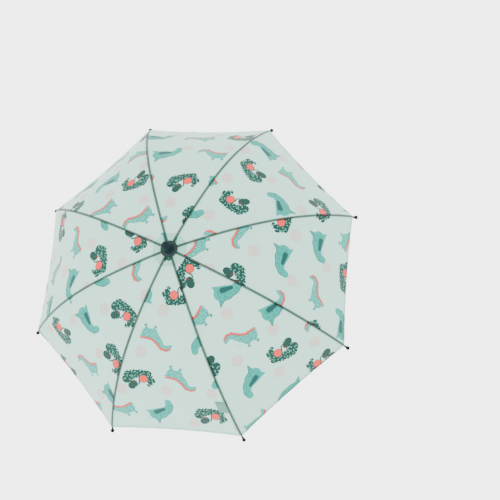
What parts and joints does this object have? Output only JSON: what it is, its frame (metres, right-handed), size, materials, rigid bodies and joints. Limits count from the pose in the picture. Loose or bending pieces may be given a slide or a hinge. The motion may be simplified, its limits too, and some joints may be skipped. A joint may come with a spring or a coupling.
{
  "type": "children's umbrella",
  "caption": "Stick umbrella for a child: curved printed fabric canopy on hinged ribs and stretchers, sliding runner, crook handle and round ferrule.",
  "frame": {"origin": "on the shaft axis, in the middle of the straight part of the grip", "axes": "+Z along the shaft from the handle to the ferrule; +X towards the side the crook bends to"},
  "size_m": [0.7032, 0.7032, 0.5787],
  "materials": {
    "canopy_fabric": "printed translucent woven polyester",
    "strap_webbing": "woven",
    "tip_plastic": "glossy moulded",
    "steel_strip": "painted",
    "shaft_tube": "painted",
    "spring_steel": "bright",
    "teal_plastic": "satin moulded",
    "white_plastic": "satin moulded"
  },
  "bodies": {
    "handle_and_shaft": {"shaft": "shaft_tube", "handle": "teal_plastic", "handle_collar": "white_plastic", "crown_notch": "white_plastic", "crown_washer": "white_plastic", "ferrule": "teal_plastic"},
    "rib_inner_1": {"rib_inner_1": "steel_strip"},
    "rib_outer_1": {"rib_outer_1": "steel_strip", "rib_tip_1": "tip_plastic"},
    "stretcher_1": {"stretcher_1": "steel_strip"},
    "panel_inner_1": {"panel_inner_1": "canopy_fabric"},
    "panel_outer_1": {"panel_outer_1": "canopy_fabric"},
    "runner": {"runner": "white_plastic"},
    "rib_inner_2": {"rib_inner_2": "steel_strip"},
    "rib_outer_2": {"rib_outer_2": "steel_strip", "rib_tip_2": "tip_plastic"},
    "stretcher_2": {"stretcher_2": "steel_strip"},
    "panel_inner_2": {"panel_inner_2": "canopy_fabric"},
    "panel_outer_2": {"panel_outer_2": "canopy_fabric"},
    "rib_inner_3": {"rib_inner_3": "steel_strip"},
    "rib_outer_3": {"rib_outer_3": "steel_strip", "rib_tip_3": "tip_plastic"},
    "stretcher_3": {"stretcher_3": "steel_strip"},
    "panel_inner_3": {"panel_inner_3": "canopy_fabric"},
    "panel_outer_3": {"panel_outer_3": "canopy_fabric"},
    "rib_inner_4": {"rib_inner_4": "steel_strip"},
    "rib_outer_4": {"rib_outer_4": "steel_strip", "rib_tip_4": "tip_plastic"},
    "stretcher_4": {"stretcher_4": "steel_strip"},
    "panel_inner_4": {"panel_inner_4": "canopy_fabric"},
    "panel_outer_4": {"panel_outer_4": "canopy_fabric"},
    "rib_inner_5": {"rib_inner_5": "steel_strip"},
    "rib_outer_5": {"rib_outer_5": "steel_strip", "rib_tip_5": "tip_plastic"},
    "stretcher_5": {"stretcher_5": "steel_strip"},
    "panel_inner_5": {"panel_inner_5": "canopy_fabric"},
    "panel_outer_5": {"panel_outer_5": "canopy_fabric"},
    "rib_inner_6": {"rib_inner_6": "steel_strip"},
    "rib_outer_6": {"rib_outer_6": "steel_strip", "rib_tip_6": "tip_plastic"},
    "stretcher_6": {"stretcher_6": "steel_strip"},
    "panel_inner_6": {"panel_inner_6": "canopy_fabric"},
    "panel_outer_6": {"panel_outer_6": "canopy_fabric", "closure_strap": "strap_webbing"},
    "rib_inner_7": {"rib_inner_7": "steel_strip"},
    "rib_outer_7": {"rib_outer_7": "steel_strip", "rib_tip_7": "tip_plastic"},
    "stretcher_7": {"stretcher_7": "steel_strip"},
    "panel_inner_7": {"panel_inner_7": "canopy_fabric"},
    "panel_outer_7": {"panel_outer_7": "canopy_fabric"},
    "rib_inner_8": {"rib_inner_8": "steel_strip"},
    "rib_outer_8": {"rib_outer_8": "steel_strip", "rib_tip_8": "tip_plastic"},
    "stretcher_8": {"stretcher_8": "steel_strip"},
    "panel_inner_8": {"panel_inner_8": "canopy_fabric"},
    "panel_outer_8": {"panel_outer_8": "canopy_fabric"},
    "top_catch": {"top_catch": "spring_steel"},
    "bottom_catch": {"bottom_catch": "spring_steel"}
  },
  "joints": [
    {"name": "canopy_fold", "type": "hinge", "parent": "handle_and_shaft", "child": "rib_inner_1", "pos_m": [0.01082, 0, 0.4616], "axis": [0, 1, 0], "range_deg": [0, 75.49], "deforming": ["panel_inner_1", "panel_inner_2", "panel_inner_3", "panel_inner_4", "panel_inner_5", "panel_inner_6", "panel_inner_7", "panel_inner_8", "panel_outer_1", "panel_outer_2", "panel_outer_3", "panel_outer_4", "panel_outer_5", "panel_outer_6", "panel_outer_7", "panel_outer_8", "closure_strap", "top_catch", "bottom_catch"]},
    {"name": "rib_1_flex", "type": "hinge", "parent": "rib_inner_1", "child": "rib_outer_1", "pos_m": [0.20866, 0, 0.41151], "axis": [0, 1, 0], "range_deg": [-31.55, 0]},
    {"name": "stretcher_1_pivot", "type": "hinge", "parent": "rib_inner_1", "child": "stretcher_1", "pos_m": [0.167, 0, 0.43072], "axis": [0, 1, 0], "range_deg": [-151, 0]},
    {"name": "panel_1_fold", "type": "hinge", "parent": "handle_and_shaft", "child": "panel_inner_1", "pos_m": [0.0128, 0.0053, 0.46413], "axis": [-0.3827, 0.9239, 0], "range_deg": [0, 73.15]},
    {"name": "panel_1_flex", "type": "hinge", "parent": "panel_inner_1", "child": "panel_outer_1", "pos_m": [0.17925, 0.07425, 0.41397], "axis": [-0.3827, 0.9239, 0], "range_deg": [-33.1, 0]},
    {"name": "runner_pivot", "type": "hinge", "parent": "stretcher_1", "child": "runner", "pos_m": [0.01082, 0, 0.39984], "axis": [0, 1, 0], "range_deg": [0, 75.5]},
    {"name": "rib_2_fold", "type": "hinge", "parent": "handle_and_shaft", "child": "rib_inner_2", "pos_m": [0.00765, 0.00765, 0.4616], "axis": [-0.7071, 0.7071, 0], "range_deg": [0, 75.49]},
    {"name": "rib_2_flex", "type": "hinge", "parent": "rib_inner_2", "child": "rib_outer_2", "pos_m": [0.14754, 0.14754, 0.41151], "axis": [-0.7071, 0.7071, 0], "range_deg": [-31.55, 0]},
    {"name": "stretcher_2_pivot", "type": "hinge", "parent": "rib_inner_2", "child": "stretcher_2", "pos_m": [0.11808, 0.11808, 0.43072], "axis": [-0.7071, 0.7071, 0], "range_deg": [-151, 0]},
    {"name": "panel_2_fold", "type": "hinge", "parent": "handle_and_shaft", "child": "panel_inner_2", "pos_m": [0.0053, 0.0128, 0.46413], "axis": [-0.9239, 0.3827, 0], "range_deg": [0, 73.15]},
    {"name": "panel_2_flex", "type": "hinge", "parent": "panel_inner_2", "child": "panel_outer_2", "pos_m": [0.07425, 0.17925, 0.41397], "axis": [-0.9239, 0.3827, 0], "range_deg": [-33.1, 0]},
    {"name": "rib_3_fold", "type": "hinge", "parent": "handle_and_shaft", "child": "rib_inner_3", "pos_m": [0, 0.01082, 0.4616], "axis": [-1, 0, 0], "range_deg": [0, 75.49]},
    {"name": "rib_3_flex", "type": "hinge", "parent": "rib_inner_3", "child": "rib_outer_3", "pos_m": [0, 0.20866, 0.41151], "axis": [-1, 0, 0], "range_deg": [-31.55, 0]},
    {"name": "stretcher_3_pivot", "type": "hinge", "parent": "rib_inner_3", "child": "stretcher_3", "pos_m": [0, 0.167, 0.43072], "axis": [-1, 0, 0], "range_deg": [-151, 0]},
    {"name": "panel_3_fold", "type": "hinge", "parent": "handle_and_shaft", "child": "panel_inner_3", "pos_m": [-0.0053, 0.0128, 0.46413], "axis": [-0.9239, -0.3827, 0], "range_deg": [0, 73.15]},
    {"name": "panel_3_flex", "type": "hinge", "parent": "panel_inner_3", "child": "panel_outer_3", "pos_m": [-0.07425, 0.17925, 0.41397], "axis": [-0.9239, -0.3827, 0], "range_deg": [-33.1, 0]},
    {"name": "rib_4_fold", "type": "hinge", "parent": "handle_and_shaft", "child": "rib_inner_4", "pos_m": [-0.00765, 0.00765, 0.4616], "axis": [-0.7071, -0.7071, 0], "range_deg": [0, 75.49]},
    {"name": "rib_4_flex", "type": "hinge", "parent": "rib_inner_4", "child": "rib_outer_4", "pos_m": [-0.14754, 0.14754, 0.41151], "axis": [-0.7071, -0.7071, 0], "range_deg": [-31.55, 0]},
    {"name": "stretcher_4_pivot", "type": "hinge", "parent": "rib_inner_4", "child": "stretcher_4", "pos_m": [-0.11808, 0.11808, 0.43072], "axis": [-0.7071, -0.7071, 0], "range_deg": [-151, 0]},
    {"name": "panel_4_fold", "type": "hinge", "parent": "handle_and_shaft", "child": "panel_inner_4", "pos_m": [-0.0128, 0.0053, 0.46413], "axis": [-0.3827, -0.9239, 0], "range_deg": [0, 73.15]},
    {"name": "panel_4_flex", "type": "hinge", "parent": "panel_inner_4", "child": "panel_outer_4", "pos_m": [-0.17925, 0.07425, 0.41397], "axis": [-0.3827, -0.9239, 0], "range_deg": [-33.1, 0]},
    {"name": "rib_5_fold", "type": "hinge", "parent": "handle_and_shaft", "child": "rib_inner_5", "pos_m": [-0.01082, 0, 0.4616], "axis": [0, -1, 0], "range_deg": [0, 75.49]},
    {"name": "rib_5_flex", "type": "hinge", "parent": "rib_inner_5", "child": "rib_outer_5", "pos_m": [-0.20866, 0, 0.41151], "axis": [0, -1, 0], "range_deg": [-31.55, 0]},
    {"name": "stretcher_5_pivot", "type": "hinge", "parent": "rib_inner_5", "child": "stretcher_5", "pos_m": [-0.167, 0, 0.43072], "axis": [0, -1, 0], "range_deg": [-151, 0]},
    {"name": "panel_5_fold", "type": "hinge", "parent": "handle_and_shaft", "child": "panel_inner_5", "pos_m": [-0.0128, -0.0053, 0.46413], "axis": [0.3827, -0.9239, 0], "range_deg": [0, 73.15]},
    {"name": "panel_5_flex", "type": "hinge", "parent": "panel_inner_5", "child": "panel_outer_5", "pos_m": [-0.17925, -0.07425, 0.41397], "axis": [0.3827, -0.9239, 0], "range_deg": [-33.1, 0]},
    {"name": "rib_6_fold", "type": "hinge", "parent": "handle_and_shaft", "child": "rib_inner_6", "pos_m": [-0.00765, -0.00765, 0.4616], "axis": [0.7071, -0.7071, 0], "range_deg": [0, 75.49]},
    {"name": "rib_6_flex", "type": "hinge", "parent": "rib_inner_6", "child": "rib_outer_6", "pos_m": [-0.14754, -0.14754, 0.41151], "axis": [0.7071, -0.7071, 0], "range_deg": [-31.55, 0]},
    {"name": "stretcher_6_pivot", "type": "hinge", "parent": "rib_inner_6", "child": "stretcher_6", "pos_m": [-0.11808, -0.11808, 0.43072], "axis": [0.7071, -0.7071, 0], "range_deg": [-151, 0]},
    {"name": "panel_6_fold", "type": "hinge", "parent": "handle_and_shaft", "child": "panel_inner_6", "pos_m": [-0.0053, -0.0128, 0.46413], "axis": [0.9239, -0.3827, 0], "range_deg": [0, 73.15]},
    {"name": "panel_6_flex", "type": "hinge", "parent": "panel_inner_6", "child": "panel_outer_6", "pos_m": [-0.07425, -0.17925, 0.41397], "axis": [0.9239, -0.3827, 0], "range_deg": [-33.1, 0]},
    {"name": "rib_7_fold", "type": "hinge", "parent": "handle_and_shaft", "child": "rib_inner_7", "pos_m": [0, -0.01082, 0.4616], "axis": [1, 0, 0], "range_deg": [0, 75.49]},
    {"name": "rib_7_flex", "type": "hinge", "parent": "rib_inner_7", "child": "rib_outer_7", "pos_m": [0, -0.20866, 0.41151], "axis": [1, 0, 0], "range_deg": [-31.55, 0]},
    {"name": "stretcher_7_pivot", "type": "hinge", "parent": "rib_inner_7", "child": "stretcher_7", "pos_m": [0, -0.167, 0.43072], "axis": [1, 0, 0], "range_deg": [-151, 0]},
    {"name": "panel_7_fold", "type": "hinge", "parent": "handle_and_shaft", "child": "panel_inner_7", "pos_m": [0.0053, -0.0128, 0.46413], "axis": [0.9239, 0.3827, 0], "range_deg": [0, 73.15]},
    {"name": "panel_7_flex", "type": "hinge", "parent": "panel_inner_7", "child": "panel_outer_7", "pos_m": [0.07425, -0.17925, 0.41397], "axis": [0.9239, 0.3827, 0], "range_deg": [-33.1, 0]},
    {"name": "rib_8_fold", "type": "hinge", "parent": "handle_and_shaft", "child": "rib_inner_8", "pos_m": [0.00765, -0.00765, 0.4616], "axis": [0.7071, 0.7071, 0], "range_deg": [0, 75.49]},
    {"name": "rib_8_flex", "type": "hinge", "parent": "rib_inner_8", "child": "rib_outer_8", "pos_m": [0.14754, -0.14754, 0.41151], "axis": [0.7071, 0.7071, 0], "range_deg": [-31.55, 0]},
    {"name": "stretcher_8_pivot", "type": "hinge", "parent": "rib_inner_8", "child": "stretcher_8", "pos_m": [0.11808, -0.11808, 0.43072], "axis": [0.7071, 0.7071, 0], "range_deg": [-151, 0]},
    {"name": "panel_8_fold", "type": "hinge", "parent": "handle_and_shaft", "child": "panel_inner_8", "pos_m": [0.0128, -0.0053, 0.46413], "axis": [0.3827, 0.9239, 0], "range_deg": [0, 73.15]},
    {"name": "panel_8_flex", "type": "hinge", "parent": "panel_inner_8", "child": "panel_outer_8", "pos_m": [0.17925, -0.07425, 0.41397], "axis": [0.3827, 0.9239, 0], "range_deg": [-33.1, 0]},
    {"name": "top_catch_press", "type": "hinge", "parent": "handle_and_shaft", "child": "top_catch", "pos_m": [0.00259, 0.00107, 0.34084], "axis": [0.3827, -0.9239, 0], "range_deg": [0, 7], "stiffness_Nm_per_rad": 0.05},
    {"name": "bottom_catch_press", "type": "hinge", "parent": "handle_and_shaft", "child": "bottom_catch", "pos_m": [0.00259, 0.00107, 0.14154], "axis": [-0.3827, 0.9239, 0], "range_deg": [0, 7], "stiffness_Nm_per_rad": 0.05}
  ],
  "couplings": [
    {"joint": "rib_1_flex", "follows": "canopy_fold", "ratio": -0.41778},
    {"joint": "stretcher_1_pivot", "follows": "canopy_fold", "ratio": -2},
    {"joint": "panel_1_fold", "follows": "canopy_fold", "ratio": 0.96885},
    {"joint": "panel_1_flex", "follows": "canopy_fold", "ratio": -0.4383},
    {"joint": "runner_pivot", "follows": "canopy_fold", "ratio": 1},
    {"joint": "rib_2_fold", "follows": "canopy_fold", "ratio": 1},
    {"joint": "rib_2_flex", "follows": "canopy_fold", "ratio": -0.41778},
    {"joint": "stretcher_2_pivot", "follows": "canopy_fold", "ratio": -2},
    {"joint": "panel_2_fold", "follows": "canopy_fold", "ratio": 0.96885},
    {"joint": "panel_2_flex", "follows": "canopy_fold", "ratio": -0.4383},
    {"joint": "rib_3_fold", "follows": "canopy_fold", "ratio": 1},
    {"joint": "rib_3_flex", "follows": "canopy_fold", "ratio": -0.41778},
    {"joint": "stretcher_3_pivot", "follows": "canopy_fold", "ratio": -2},
    {"joint": "panel_3_fold", "follows": "canopy_fold", "ratio": 0.96885},
    {"joint": "panel_3_flex", "follows": "canopy_fold", "ratio": -0.4383},
    {"joint": "rib_4_fold", "follows": "canopy_fold", "ratio": 1},
    {"joint": "rib_4_flex", "follows": "canopy_fold", "ratio": -0.41778},
    {"joint": "stretcher_4_pivot", "follows": "canopy_fold", "ratio": -2},
    {"joint": "panel_4_fold", "follows": "canopy_fold", "ratio": 0.96885},
    {"joint": "panel_4_flex", "follows": "canopy_fold", "ratio": -0.4383},
    {"joint": "rib_5_fold", "follows": "canopy_fold", "ratio": 1},
    {"joint": "rib_5_flex", "follows": "canopy_fold", "ratio": -0.41778},
    {"joint": "stretcher_5_pivot", "follows": "canopy_fold", "ratio": -2},
    {"joint": "panel_5_fold", "follows": "canopy_fold", "ratio": 0.96885},
    {"joint": "panel_5_flex", "follows": "canopy_fold", "ratio": -0.4383},
    {"joint": "rib_6_fold", "follows": "canopy_fold", "ratio": 1},
    {"joint": "rib_6_flex", "follows": "canopy_fold", "ratio": -0.41778},
    {"joint": "stretcher_6_pivot", "follows": "canopy_fold", "ratio": -2},
    {"joint": "panel_6_fold", "follows": "canopy_fold", "ratio": 0.96885},
    {"joint": "panel_6_flex", "follows": "canopy_fold", "ratio": -0.4383},
    {"joint": "rib_7_fold", "follows": "canopy_fold", "ratio": 1},
    {"joint": "rib_7_flex", "follows": "canopy_fold", "ratio": -0.41778},
    {"joint": "stretcher_7_pivot", "follows": "canopy_fold", "ratio": -2},
    {"joint": "panel_7_fold", "follows": "canopy_fold", "ratio": 0.96885},
    {"joint": "panel_7_flex", "follows": "canopy_fold", "ratio": -0.4383},
    {"joint": "rib_8_fold", "follows": "canopy_fold", "ratio": 1},
    {"joint": "rib_8_flex", "follows": "canopy_fold", "ratio": -0.41778},
    {"joint": "stretcher_8_pivot", "follows": "canopy_fold", "ratio": -2},
    {"joint": "panel_8_fold", "follows": "canopy_fold", "ratio": 0.96885},
    {"joint": "panel_8_flex", "follows": "canopy_fold", "ratio": -0.4383}
  ]
}
